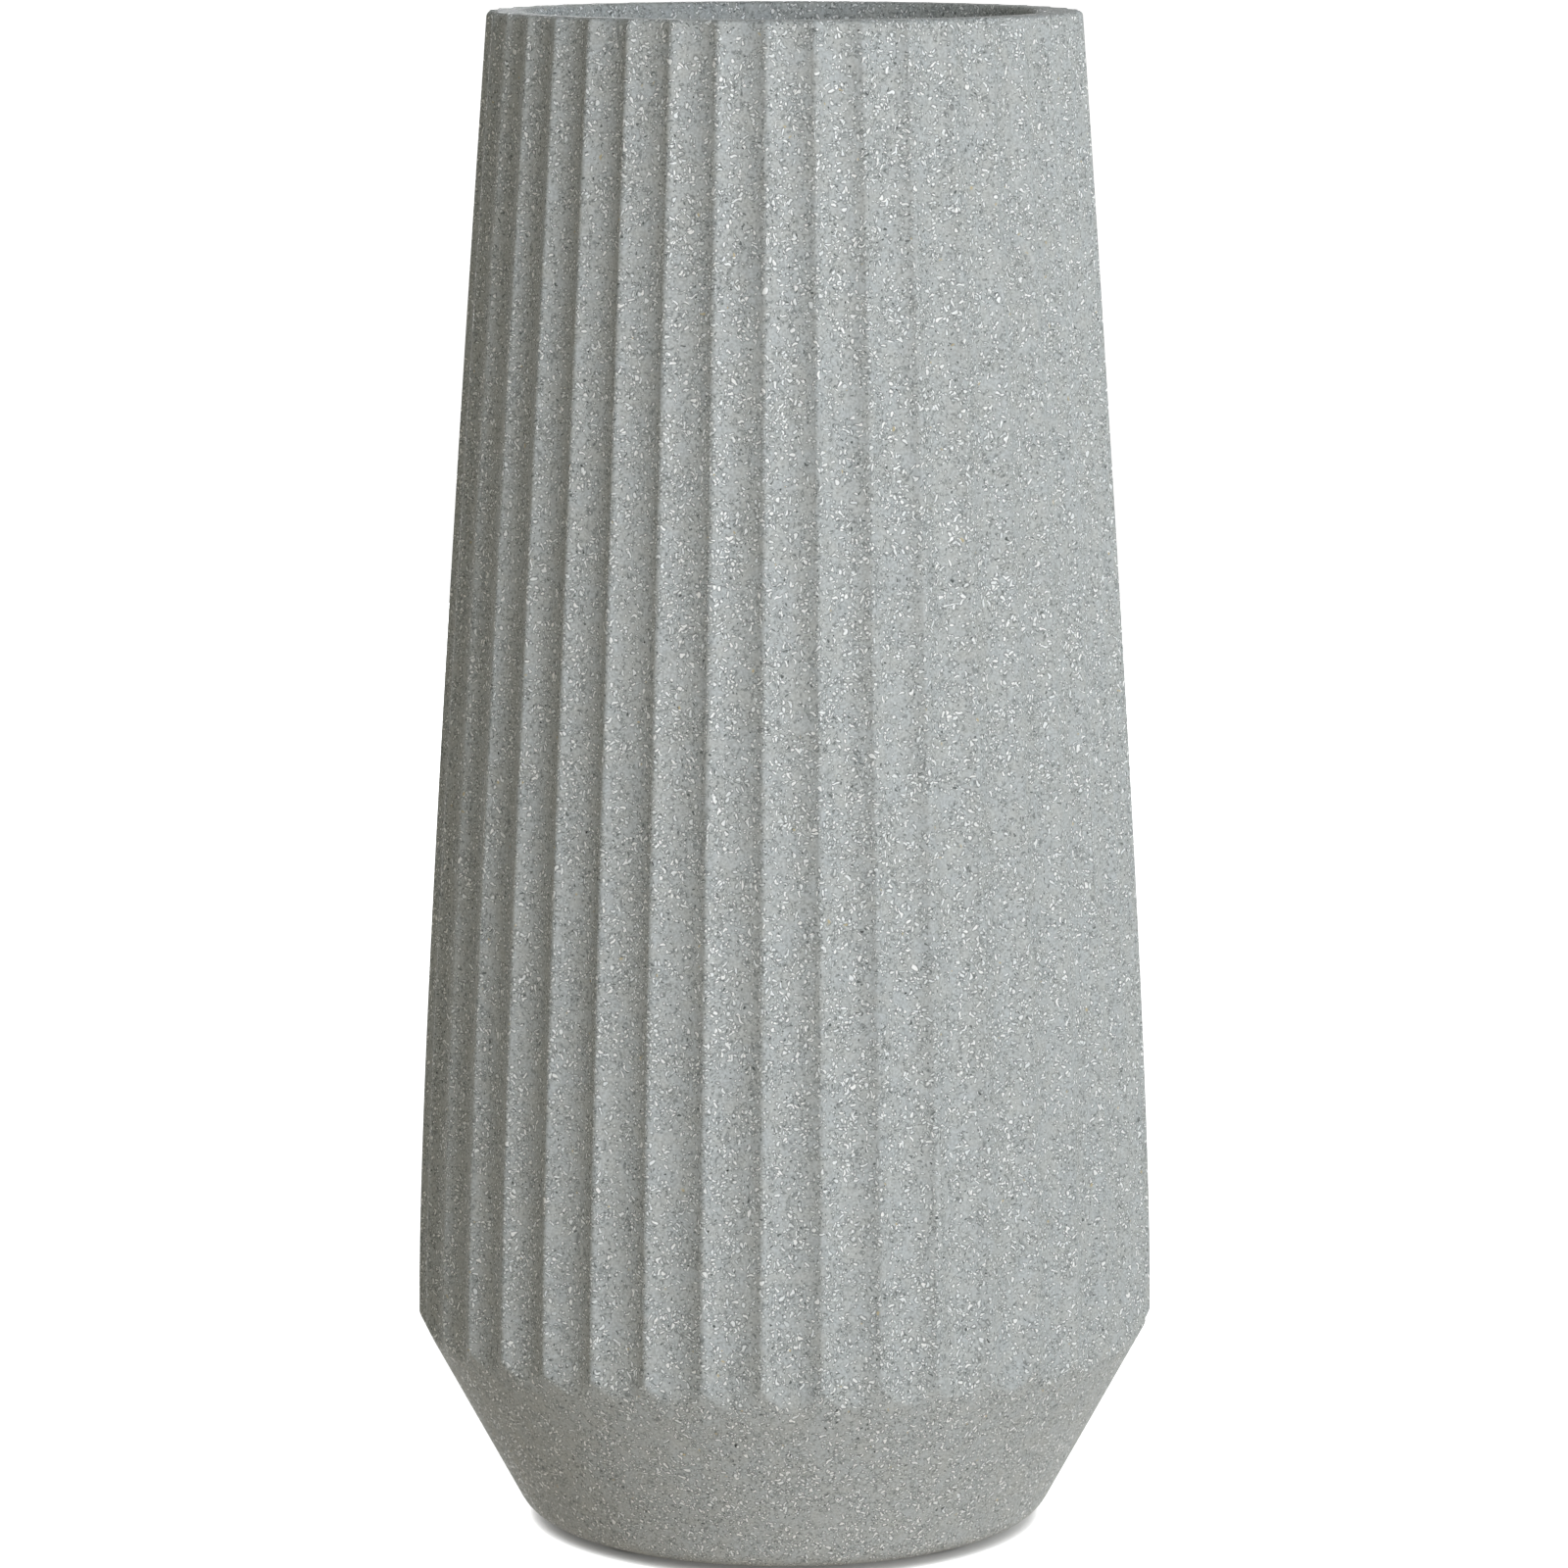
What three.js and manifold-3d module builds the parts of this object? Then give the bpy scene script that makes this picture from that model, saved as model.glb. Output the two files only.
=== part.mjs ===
// Tall fluted cachepot: a cast mineral shell, the liner that hangs inside its mouth with two folding
// handles, a drain plug and four felt pads under the base.
// Millimetres, +Z up. The origin is on the ground, on the pot's axis; the front looks along -Y.
import * as THREE from 'three';
import { mergeVertices } from 'three/addons/utils/BufferGeometryUtils.js';
import Module from 'manifold-3d';

// Shell, outside
const SHELL_HEIGHT = 607.5;
const RIM_DIAMETER = 237; // over the arrises, at the top
const BELLY_DIAMETER = 299; // over the arrises, at the shoulder
const BASE_DIAMETER = 208; // where the cone foot would meet the base plane
const SHOULDER_HEIGHT = 84; // base plane to the shoulder
const UPRIGHT_HEIGHT = 190; // base plane to where the upright side would meet the lean of the rim
const BASE_ROUND = 15;
const RIM_ROUND = 2;
const FLUTE_COUNT = 40;
const FLUTE_DEPTH = 4.3; // at the shoulder; above it the flutes narrow and flatten with the girth
const FLUTE_TURN = -3.25; // degrees from the front to the nearest arris

// Shell, inside
const WALL = 16; // arris to the inner face
const FLOOR = 18;
const FLOOR_ROUND = 12;
const LEDGE_DROP = 24; // rim to the ledge that carries the liner
const LEDGE_WIDTH = 7;
const LEDGE_THICKNESS = 14;
const LEDGE_SLOPE = 22; // height over which the ledge's underside runs back to the wall
const DRAIN_DIAMETER = 24;

// Liner
const LINER_CLEARANCE = 1; // all round, to the shell's mouth and ledge
const LINER_DEPTH = 250; // ledge to the liner's underside
const LINER_DRAFT = 3; // degrees
const LINER_WALL = 2.5;
const LINER_FLOOR = 3;
const LINER_ROUND = 9;
const FLANGE_THICKNESS = 3;
const SEEP_HOLES = 8;
const SEEP_DIAMETER = 6;
const SEEP_CIRCLE = 100; // diameter of the ring of holes

// Liner handles
const HANDLE_WIDTH = 6;
const HANDLE_THICKNESS = 5;
const HANDLE_EDGE = 0.8;
const HANDLE_INSET = 2.5; // flange's edge to the folded handle
const HANDLE_REACH = 46; // trunnions to the far edge of the handle
const PIN_DIAMETER = 4;
const PIN_CLEARANCE = 0.25; // all round, in the ear
const PIN_SETBACK = 1; // pin's end to the ear's far face
const EAR_WIDTH = 11;
const EAR_THICKNESS = 8;
const EAR_INSET = 1; // flange's edge to the ear
const EAR_DROP = 20; // trunnions to the foot of the ear, down the liner's wall

// Drain plug
const PLUG_TAPER = 1.2; // how much slimmer the plug's lower end is, all round
const PLUG_SETBACK = 3; // base plane to the plug's lower end
const PLUG_EDGE = 1.5;
const PLUG_HEAD_OVERLAP = 7; // head beyond the hole, all round
const PLUG_HEAD_THICKNESS = 4;
const PLUG_STEM_DIAMETER = 10;
const PLUG_STEM_LENGTH = 10;
const PLUG_KNOB_DIAMETER = 20;
const PLUG_KNOB_THICKNESS = 7;

// Pads
const PAD_DIAMETER = 30;
const PAD_THICKNESS = 2.2;
const PAD_EDGE = 0.5;
const PAD_INSET = 5; // edge of the flat base to the pad

const FIT_GAP = 0.3; // between faces that rest on each other

// Facets
const FLUTE_FACETS = 5;
const SIDE_STEPS = 6;
const SHELL_FACETS = 80;
const LINER_FACETS = 48;
const SMALL_FACETS = 24;
const SEEP_FACETS = 12;
const HANDLE_FACETS = 7;
const ROUND_STEP = 30; // degrees of an edge's rounding to each facet
const CUT_MARGIN = 2; // how far a cutter runs past the face that it opens
const MERGE_DISTANCE = 1e-4;

// Heights and radii that several pieces share
const baseZ = PAD_THICKNESS + FIT_GAP;
const floorZ = baseZ + FLOOR;
const shoulderZ = baseZ + SHOULDER_HEIGHT;
const uprightZ = baseZ + UPRIGHT_HEIGHT;
const rimZ = baseZ + SHELL_HEIGHT;
const ledgeZ = rimZ - LEDGE_DROP;
const bellyRadius = BELLY_DIAMETER / 2;
const rimRadius = RIM_DIAMETER / 2;
const baseRadius = BASE_DIAMETER / 2;
const mouthRadius = rimRadius - WALL;
const ledgeRadius = mouthRadius - LEDGE_WIDTH;
const drainRadius = DRAIN_DIAMETER / 2;
const flangeRadius = mouthRadius - LINER_CLEARANCE;
const linerRadius = ledgeRadius - LINER_CLEARANCE;
const handleRadius = flangeRadius - HANDLE_INSET;
const pivotX = handleRadius - HANDLE_REACH;
const pivotZ = FLANGE_THICKNESS + FIT_GAP + HANDLE_THICKNESS / 2;
const earFarY = Math.sqrt((flangeRadius - EAR_INSET) ** 2 - (pivotX + EAR_WIDTH / 2) ** 2);
const earNearY = earFarY - EAR_THICKNESS;

const wasm = await Module();
wasm.setup();

const radians = THREE.MathUtils.degToRad;
const at = (radius, height) => new THREE.Vector2(radius, height);

function toSolid(geometry) {
  const bare = geometry.clone();
  bare.deleteAttribute('normal');
  bare.deleteAttribute('uv');
  const merged = mergeVertices(bare, MERGE_DISTANCE);
  const corners = Array.from(merged.index.array);
  const triangles = [];
  for (let i = 0; i < corners.length; i += 3) {
    const [a, b, c] = corners.slice(i, i + 3);
    if (a !== b && b !== c && c !== a) triangles.push(a, b, c);
  }
  return new wasm.Manifold(new wasm.Mesh({
    numProp: 3,
    vertProperties: new Float32Array(merged.attributes.position.array),
    triVerts: new Uint32Array(triangles),
  }));
}

function toMesh(name, solid, look) {
  const { vertProperties, triVerts } = solid.getMesh();
  const geometry = new THREE.BufferGeometry();
  geometry.setAttribute('position', new THREE.BufferAttribute(vertProperties, 3));
  geometry.setIndex(new THREE.BufferAttribute(triVerts, 1));
  geometry.computeVertexNormals();
  const mesh = new THREE.Mesh(geometry, new THREE.MeshStandardMaterial(look));
  mesh.name = name;
  return mesh;
}

// The points that round a profile's corner off.
function roundCorner(before, corner, after, radius) {
  const back = before.clone().sub(corner).normalize();
  const on = after.clone().sub(corner).normalize();
  const half = Math.acos(back.dot(on)) / 2;
  const centre = back.clone().add(on).setLength(radius / Math.sin(half)).add(corner);
  const start = back.multiplyScalar(radius / Math.tan(half)).add(corner).sub(centre);
  const end = on.multiplyScalar(radius / Math.tan(half)).add(corner).sub(centre);
  const turn = Math.atan2(start.cross(end), start.dot(end));
  const steps = Math.max(1, Math.round(Math.abs(turn) / radians(ROUND_STEP)));
  const points = [];
  for (let i = 0; i <= steps; i += 1) {
    points.push(start.clone().rotateAround(at(0, 0), turn * i / steps).add(centre));
  }
  return points;
}

// A profile turned about the pot's axis; the turn starts at the front.
function turned(profile, facets, startAngle = 0) {
  return new THREE.LatheGeometry(profile, facets, startAngle).rotateX(Math.PI / 2);
}

function verticalCylinder(radius, fromZ, toZ, facets) {
  const cylinder = new THREE.CylinderGeometry(radius, radius, toZ - fromZ, facets);
  return cylinder.rotateX(Math.PI / 2).translate(0, 0, (fromZ + toZ) / 2);
}

// Radius of the shell's side over the arrises: upright at the shoulder, then bowing in to the rim.
function sideRadius(z) {
  const rise = z - shoulderZ;
  const lift = uprightZ - shoulderZ;
  const bend = rimZ - shoulderZ - 2 * lift;
  const along = rise / (lift + Math.sqrt(lift ** 2 + bend * rise));
  return bellyRadius - (bellyRadius - rimRadius) * along ** 2;
}

function sidePoints(topZ, inset) {
  const points = [];
  for (let i = 0; i <= SIDE_STEPS; i += 1) {
    const z = THREE.MathUtils.lerp(shoulderZ, topZ, i / SIDE_STEPS);
    points.push(at(sideRadius(z) - inset, z));
  }
  return points;
}

// Share of the arris radius that is left where a round cutter has hollowed the flutes.
function fluteShare(angle) {
  const pitch = 2 * Math.PI / FLUTE_COUNT;
  const offMiddle = THREE.MathUtils.euclideanModulo(angle, pitch) - pitch / 2;
  const valley = bellyRadius - FLUTE_DEPTH;
  const chordDepth = bellyRadius * Math.cos(pitch / 2) - valley;
  const cutterCentre = (bellyRadius ** 2 - valley ** 2) / (2 * chordDepth);
  const cutterRadius = cutterCentre - valley;
  const reach = Math.sqrt(cutterRadius ** 2 - (cutterCentre * Math.sin(offMiddle)) ** 2);
  return (cutterCentre * Math.cos(offMiddle) - reach) / bellyRadius;
}

// The fluted blank: flutes run straight down past the shoulder, for the cone foot to cut them off.
function flutedBlank() {
  const side = sidePoints(rimZ, 0);
  const rim = side.pop();
  const rimEdge = roundCorner(side.at(-1), rim, at(0, rimZ), RIM_ROUND);
  const profile = [at(0, baseZ), at(bellyRadius, baseZ), ...side, ...rimEdge, at(0, rimZ)];
  const blank = turned(profile, FLUTE_COUNT * FLUTE_FACETS, radians(FLUTE_TURN));
  const place = blank.attributes.position;
  for (let i = 0; i < place.count; i += 1) {
    const angle = Math.atan2(place.getX(i), -place.getY(i)) - radians(FLUTE_TURN);
    const share = fluteShare(angle);
    place.setXY(i, place.getX(i) * share, place.getY(i) * share);
  }
  return blank;
}

// Plain cone foot with a rounded base edge, open upwards past the rim.
const coneSlope = (bellyRadius - baseRadius) / SHOULDER_HEIGHT;
const coneEdge = roundCorner(at(0, baseZ), at(baseRadius, baseZ), at(bellyRadius, shoulderZ), BASE_ROUND);

function coneFoot() {
  const outer = bellyRadius + CUT_MARGIN;
  const profile = [
    at(0, baseZ),
    ...coneEdge,
    at(outer, shoulderZ + CUT_MARGIN / coneSlope),
    at(outer, rimZ + CUT_MARGIN),
    at(0, rimZ + CUT_MARGIN),
  ];
  return turned(profile, SHELL_FACETS, radians(FLUTE_TURN));
}

function shellHollow() {
  const floorCorner = at(baseRadius - WALL + FLOOR * coneSlope, floorZ);
  const shoulder = at(bellyRadius - WALL, shoulderZ);
  const ledgeFoot = at(ledgeRadius, ledgeZ - LEDGE_THICKNESS);
  const mouth = at(mouthRadius, rimZ);
  const mouthEdge = roundCorner(at(mouthRadius, ledgeZ), mouth, at(rimRadius, rimZ), RIM_ROUND);
  const profile = [
    at(0, floorZ),
    ...roundCorner(at(0, floorZ), floorCorner, shoulder, FLOOR_ROUND),
    ...sidePoints(ledgeFoot.y - LEDGE_SLOPE, WALL),
    ledgeFoot,
    at(ledgeRadius, ledgeZ),
    at(mouthRadius, ledgeZ),
    ...mouthEdge,
    at(mouthEdge.at(-1).x, rimZ + CUT_MARGIN),
    at(0, rimZ + CUT_MARGIN),
  ];
  return turned(profile, SHELL_FACETS, radians(FLUTE_TURN));
}

function flutedShell() {
  const drain = verticalCylinder(drainRadius, baseZ - CUT_MARGIN, floorZ + CUT_MARGIN, SMALL_FACETS);
  const solid = toSolid(flutedBlank())
    .intersect(toSolid(coneFoot()))
    .subtract(toSolid(shellHollow()))
    .subtract(toSolid(drain));
  return toMesh('fluted_shell', solid, { color: 0xa3a69f, roughness: 0.85, metalness: 0 });
}

// Liner, with z = 0 at the underside of its flange
function linerOutside(topZ) {
  const footZ = -LINER_DEPTH;
  const shoulder = at(linerRadius, 0);
  const foot = at(linerRadius - LINER_DEPTH * Math.tan(radians(LINER_DRAFT)), footZ);
  return [
    at(0, footZ),
    ...roundCorner(at(0, footZ), foot, shoulder, LINER_ROUND),
    shoulder,
    at(flangeRadius, 0),
    at(flangeRadius, topZ),
  ];
}

function linerCup() {
  const innerFloorZ = LINER_FLOOR - LINER_DEPTH;
  const slope = Math.tan(radians(LINER_DRAFT));
  const lip = at(linerRadius - LINER_WALL + FLANGE_THICKNESS * slope, FLANGE_THICKNESS);
  const corner = at(lip.x - (lip.y - innerFloorZ) * slope, innerFloorZ);
  const inside = roundCorner(lip, corner, at(0, innerFloorZ), LINER_ROUND - LINER_WALL);
  return turned([...linerOutside(FLANGE_THICKNESS), lip, ...inside, at(0, innerFloorZ)], LINER_FACETS);
}

// Bucket ear on the flange and the wall below it, bored for the handle's trunnion
function earBlock(sideX, sideY) {
  const outline = new THREE.Shape();
  outline.absarc(0, 0, EAR_WIDTH / 2, 0, Math.PI, false);
  outline.absarc(0, -EAR_DROP + EAR_WIDTH / 2, EAR_WIDTH / 2, Math.PI, 2 * Math.PI, false);
  const block = new THREE.ExtrudeGeometry(outline, {
    depth: EAR_THICKNESS,
    bevelEnabled: false,
    curveSegments: HANDLE_FACETS,
  });
  const lowY = sideY > 0 ? earNearY : -earFarY;
  return block.rotateX(Math.PI / 2).translate(sideX * pivotX, lowY + EAR_THICKNESS, pivotZ);
}

function linerPot() {
  const trimmed = [...linerOutside(LEDGE_DROP), at(0, LEDGE_DROP)];
  const trim = toSolid(turned(trimmed, LINER_FACETS));
  let solid = toSolid(linerCup());
  for (const sideX of [-1, 1]) {
    for (const sideY of [-1, 1]) {
      solid = solid.add(toSolid(earBlock(sideX, sideY)).intersect(trim));
    }
    const boreRadius = PIN_DIAMETER / 2 + PIN_CLEARANCE;
    const boreLength = 2 * (earFarY + CUT_MARGIN);
    const bore = new THREE.CylinderGeometry(boreRadius, boreRadius, boreLength, SMALL_FACETS);
    solid = solid.subtract(toSolid(bore.translate(sideX * pivotX, 0, pivotZ)));
  }
  const holeFromZ = -LINER_DEPTH - CUT_MARGIN;
  const holeToZ = LINER_FLOOR - LINER_DEPTH + CUT_MARGIN;
  for (let i = 0; i < SEEP_HOLES; i += 1) {
    const angle = 2 * Math.PI * i / SEEP_HOLES;
    const hole = verticalCylinder(SEEP_DIAMETER / 2, holeFromZ, holeToZ, SEEP_FACETS);
    hole.translate(SEEP_CIRCLE / 2 * Math.cos(angle), SEEP_CIRCLE / 2 * Math.sin(angle), 0);
    solid = solid.subtract(toSolid(hole));
  }
  return toMesh('liner_pot', solid, { color: 0x2b2d2e, roughness: 0.55, metalness: 0 });
}

// Folded handle: two straight legs from the trunnions, joined by a bow that lies along the flange.
// Its trunnions are on the Y axis and it points along +X.
function linerHandle(name) {
  const legOuterY = earNearY - FIT_GAP;
  const legInnerY = legOuterY - HANDLE_WIDTH;
  const innerRadius = handleRadius - HANDLE_WIDTH;
  const outerAngle = Math.asin(legOuterY / handleRadius);
  const innerAngle = Math.asin(legInnerY / innerRadius);
  const outline = new THREE.Shape();
  outline.moveTo(0, -legOuterY);
  outline.absarc(-pivotX, 0, handleRadius, -outerAngle, outerAngle, false);
  outline.lineTo(0, legOuterY);
  outline.lineTo(0, legInnerY);
  outline.absarc(-pivotX, 0, innerRadius, innerAngle, -innerAngle, true);
  outline.lineTo(0, -legInnerY);
  outline.closePath();
  const bow = new THREE.ExtrudeGeometry(outline, {
    depth: HANDLE_THICKNESS - 2 * HANDLE_EDGE,
    bevelThickness: HANDLE_EDGE,
    bevelSize: HANDLE_EDGE,
    bevelOffset: -HANDLE_EDGE,
    bevelSegments: 1,
    curveSegments: HANDLE_FACETS,
  });
  bow.translate(0, 0, HANDLE_EDGE - HANDLE_THICKNESS / 2);
  let solid = toSolid(bow);
  const pinLength = HANDLE_WIDTH / 2 + FIT_GAP + EAR_THICKNESS - PIN_SETBACK;
  for (const sideY of [-1, 1]) {
    const barrelRadius = HANDLE_THICKNESS / 2;
    const legY = sideY * (legInnerY + legOuterY) / 2;
    const barrel = new THREE.CylinderGeometry(barrelRadius, barrelRadius, HANDLE_WIDTH, SMALL_FACETS);
    const pin = new THREE.CylinderGeometry(PIN_DIAMETER / 2, PIN_DIAMETER / 2, pinLength, SMALL_FACETS);
    solid = solid.add(toSolid(barrel.translate(0, legY, 0)));
    solid = solid.add(toSolid(pin.translate(0, legY + sideY * pinLength / 2, 0)));
  }
  return toMesh(name, solid, { color: 0x3a3d3e, roughness: 0.5, metalness: 0 });
}

// Tapered bung with a head that seals on the floor and a knob to pull it by
function drainPlug() {
  const footZ = PLUG_SETBACK - FLOOR;
  const bodyRadius = drainRadius - FIT_GAP;
  const foot = at(bodyRadius - PLUG_TAPER, footZ);
  const headRadius = drainRadius + PLUG_HEAD_OVERLAP;
  const headZ = FIT_GAP + PLUG_HEAD_THICKNESS;
  const knobZ = headZ + PLUG_STEM_LENGTH;
  const topZ = knobZ + PLUG_KNOB_THICKNESS;
  const stemRadius = PLUG_STEM_DIAMETER / 2;
  const knobRadius = PLUG_KNOB_DIAMETER / 2;
  const profile = [
    at(0, footZ),
    ...roundCorner(at(0, footZ), foot, at(bodyRadius, FIT_GAP), PLUG_EDGE),
    at(bodyRadius, FIT_GAP),
    at(headRadius, FIT_GAP),
    ...roundCorner(at(headRadius, FIT_GAP), at(headRadius, headZ), at(stemRadius, headZ), PLUG_EDGE),
    at(stemRadius, headZ),
    at(stemRadius, knobZ),
    ...roundCorner(at(stemRadius, knobZ), at(knobRadius, knobZ), at(knobRadius, topZ), PLUG_EDGE),
    ...roundCorner(at(knobRadius, knobZ), at(knobRadius, topZ), at(0, topZ), PLUG_EDGE),
    at(0, topZ),
  ];
  const solid = toSolid(turned(profile, SMALL_FACETS));
  return toMesh('drain_plug', solid, { color: 0x232323, roughness: 0.8, metalness: 0 });
}

function footPad(name) {
  const radius = PAD_DIAMETER / 2;
  const profile = [
    at(0, 0),
    at(radius, 0),
    at(radius, PAD_THICKNESS - PAD_EDGE),
    at(radius - PAD_EDGE, PAD_THICKNESS),
    at(0, PAD_THICKNESS),
  ];
  const solid = toSolid(turned(profile, SMALL_FACETS));
  return toMesh(name, solid, { color: 0x5a5855, roughness: 1, metalness: 0 });
}

const cachepot = new THREE.Group();
cachepot.add(flutedShell());

const liner = new THREE.Group();
liner.position.z = ledgeZ + FIT_GAP;
liner.add(linerPot());
for (const [side, turn] of [['right', 0], ['left', Math.PI]]) {
  const handle = linerHandle(`liner_handle_${side}`);
  handle.position.set(pivotX * Math.cos(turn), 0, pivotZ);
  handle.rotation.z = turn;
  liner.add(handle);
}
cachepot.add(liner);

const plug = drainPlug();
plug.position.z = floorZ;
cachepot.add(plug);

const padCircle = coneEdge[0].x - PAD_INSET - PAD_DIAMETER / 2;
for (const [along, sideY] of [['front', -1], ['back', 1]]) {
  for (const [across, sideX] of [['left', -1], ['right', 1]]) {
    const pad = footPad(`foot_pad_${along}_${across}`);
    pad.position.set(sideX * padCircle * Math.SQRT1_2, sideY * padCircle * Math.SQRT1_2, 0);
    cachepot.add(pad);
  }
}

export default cachepot;
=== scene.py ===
from math import asin, atan2, cos, degrees, pi, radians, sin, sqrt, tan

import bmesh
import bpy
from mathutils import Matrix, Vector


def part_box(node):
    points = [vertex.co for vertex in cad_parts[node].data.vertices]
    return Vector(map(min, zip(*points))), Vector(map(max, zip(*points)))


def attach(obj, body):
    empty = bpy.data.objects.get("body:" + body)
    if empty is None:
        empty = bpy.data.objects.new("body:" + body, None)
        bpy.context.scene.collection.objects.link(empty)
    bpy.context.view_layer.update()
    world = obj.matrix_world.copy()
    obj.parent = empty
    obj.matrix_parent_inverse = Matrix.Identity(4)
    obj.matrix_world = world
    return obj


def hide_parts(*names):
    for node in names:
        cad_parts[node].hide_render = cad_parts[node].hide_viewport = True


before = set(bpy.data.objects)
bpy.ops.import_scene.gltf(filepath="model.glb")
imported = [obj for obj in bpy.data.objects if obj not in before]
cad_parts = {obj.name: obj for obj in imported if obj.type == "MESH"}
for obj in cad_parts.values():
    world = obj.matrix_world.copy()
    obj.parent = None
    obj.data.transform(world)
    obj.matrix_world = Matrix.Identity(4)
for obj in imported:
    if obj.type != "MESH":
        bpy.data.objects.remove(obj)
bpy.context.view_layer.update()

mm = 0.001


def hexColour(code):
    channels = [int(code[i:i + 2], 16) / 255 for i in (1, 3, 5)]
    linear = [c / 12.92 if c <= 0.04045 else ((c + 0.055) / 1.055) ** 2.4 for c in channels]
    return (*linear, 1)


def addNode(tree, kind, settings={}, inputs={}):
    node = tree.nodes.new("ShaderNode" + kind)
    for name, value in settings.items():
        setattr(node, name, value)
    for name, value in inputs.items():
        if isinstance(value, bpy.types.NodeSocket):
            tree.links.new(value, node.inputs[name])
        else:
            node.inputs[name].default_value = value
    return node


def newMaterial(name):
    material = bpy.data.materials.new(name)
    material.use_nodes = True
    material.node_tree.nodes.clear()
    return material, material.node_tree


def clearSelection():
    if bpy.context.object and bpy.context.object.mode != "OBJECT":
        bpy.ops.object.mode_set(mode="OBJECT")
    bpy.ops.object.select_all(action="DESELECT")


def pickOnly(piece):
    clearSelection()
    piece.select_set(True)
    bpy.context.view_layer.objects.active = piece


def nameIt(name):
    piece = bpy.context.object
    piece.name = name
    piece.data.name = name
    return piece


# Every corner of a profile is (radius, height, rounding) in mm.
def softProfile(corners, steps=5):
    points = []
    for i, (radius, height, rounding) in enumerate(corners):
        here = Vector((radius, height))
        if rounding == 0:
            points.append(here)
            continue
        back = (Vector(corners[i - 1][:2]) - here).normalized()
        on = (Vector(corners[(i + 1) % len(corners)][:2]) - here).normalized()
        half = back.angle(on) / 2
        centre = here + (back + on).normalized() * rounding / sin(half)
        first = here + back * rounding / tan(half) - centre
        last = here + on * rounding / tan(half) - centre
        begin = atan2(first.y, first.x)
        turn = (atan2(last.y, last.x) - begin + pi) % (2 * pi) - pi
        for k in range(steps + 1):
            angle = begin + turn * k / steps
            points.append(centre + rounding * Vector((cos(angle), sin(angle))))
    return points


def startRing(name, vertices, point):
    clearSelection()
    radius, height = point
    bpy.ops.mesh.primitive_circle_add(
        vertices=vertices, radius=radius * mm, location=(0, 0, height * mm))
    piece = nameIt(name)
    bpy.ops.object.transform_apply(location=True, rotation=True, scale=True)
    bpy.ops.object.mode_set(mode="EDIT")
    bpy.ops.mesh.select_mode(type="VERT")
    bpy.ops.mesh.select_all(action="SELECT")
    return piece


# The selected ring is drawn out to each point of the profile in turn.
def drawRings(here, profile):
    for there in profile:
        rise = (there[1] - here[1]) * mm
        bpy.ops.mesh.extrude_region_move(TRANSFORM_OT_translate={"value": (0, 0, rise)})
        grow = there[0] / here[0]
        bpy.ops.transform.resize(value=(grow, grow, 1), center_override=(0, 0, there[1] * mm))
        here = there
    return here


def selectVerts(piece, test):
    bpy.ops.mesh.select_all(action="DESELECT")
    shape = bmesh.from_edit_mesh(piece.data)
    for vert in shape.verts:
        vert.select = test(vert)
    shape.select_flush_mode()
    bmesh.update_edit_mesh(piece.data)


def selectEdges(piece, test):
    bpy.ops.mesh.select_mode(type="EDGE")
    bpy.ops.mesh.select_all(action="DESELECT")
    shape = bmesh.from_edit_mesh(piece.data)
    for edge in shape.edges:
        if test(edge):
            edge.select_set(True)
    bmesh.update_edit_mesh(piece.data)


def closeEnds():
    bpy.ops.mesh.select_all(action="SELECT")
    bpy.ops.mesh.fill_holes(sides=0)


def tidyMesh(merge=0.01):
    bpy.ops.mesh.select_mode(type="VERT")
    bpy.ops.mesh.select_all(action="SELECT")
    bpy.ops.mesh.remove_doubles(threshold=merge * mm)
    bpy.ops.mesh.normals_make_consistent(inside=False)
    bpy.ops.object.mode_set(mode="OBJECT")


def turnPiece(name, vertices, profile):
    piece = startRing(name, vertices, profile[0])
    drawRings(profile[0], profile[1:])
    closeEnds()
    tidyMesh()
    return piece


def applyModifier(piece, kind, settings):
    pickOnly(piece)
    modifier = piece.modifiers.new(kind.title(), kind)
    for name, value in settings.items():
        setattr(modifier, name, value)
    bpy.ops.object.modifier_apply(modifier=modifier.name)


def cutWith(piece, tool, operation):
    applyModifier(piece, "BOOLEAN", {"operation": operation, "solver": "EXACT", "object": tool})
    bpy.data.objects.remove(tool)


# The slivers that a cut leaves are merged away.
def mendCuts(piece):
    pickOnly(piece)
    bpy.ops.object.mode_set(mode="EDIT")
    tidyMesh(0.002)


def finishPiece(piece, material, body, nodes, angle):
    pickOnly(piece)
    bpy.ops.object.shade_smooth_by_angle(angle=radians(angle))
    piece.data.materials.clear()
    piece.data.materials.append(material)
    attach(piece, body)
    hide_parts(*nodes)
    print("made", piece.name, len(piece.data.polygons), "faces")


# Cast mineral stone with crushed shell or glass in it, pressed in a mould and rubbed down: a dull
# grey body, thickly set with pale slivers that lie every way, dark specks between them, a few black
# grains and some buff ones. Sizes in mm.
castStone = {
    "cool": "#b9bec0",
    "warm": "#bbbebd",
    "blotchSize": 9,
    "grainSize": 1,
    "grainDark": 0.8,
    "grainLight": 1.18,
    "curlSize": 2.4,
    "curl": 1.25,
    "clusterSize": 11,
    "roughness": 0.7,
    "sliverRoughness": 0.3,
    "shine": 0.4,
    "grainHeight": 0.05,
    # a dark seam round the pale slivers: darker binder and painted shade of the hollows they sit in
    "seamShadeColour": "#676c6b",
    "seam": 0.75,
    "softEdge": (1.1, 0.6),  # where a grain's edge fades out and in, as shares of its size
}
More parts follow.
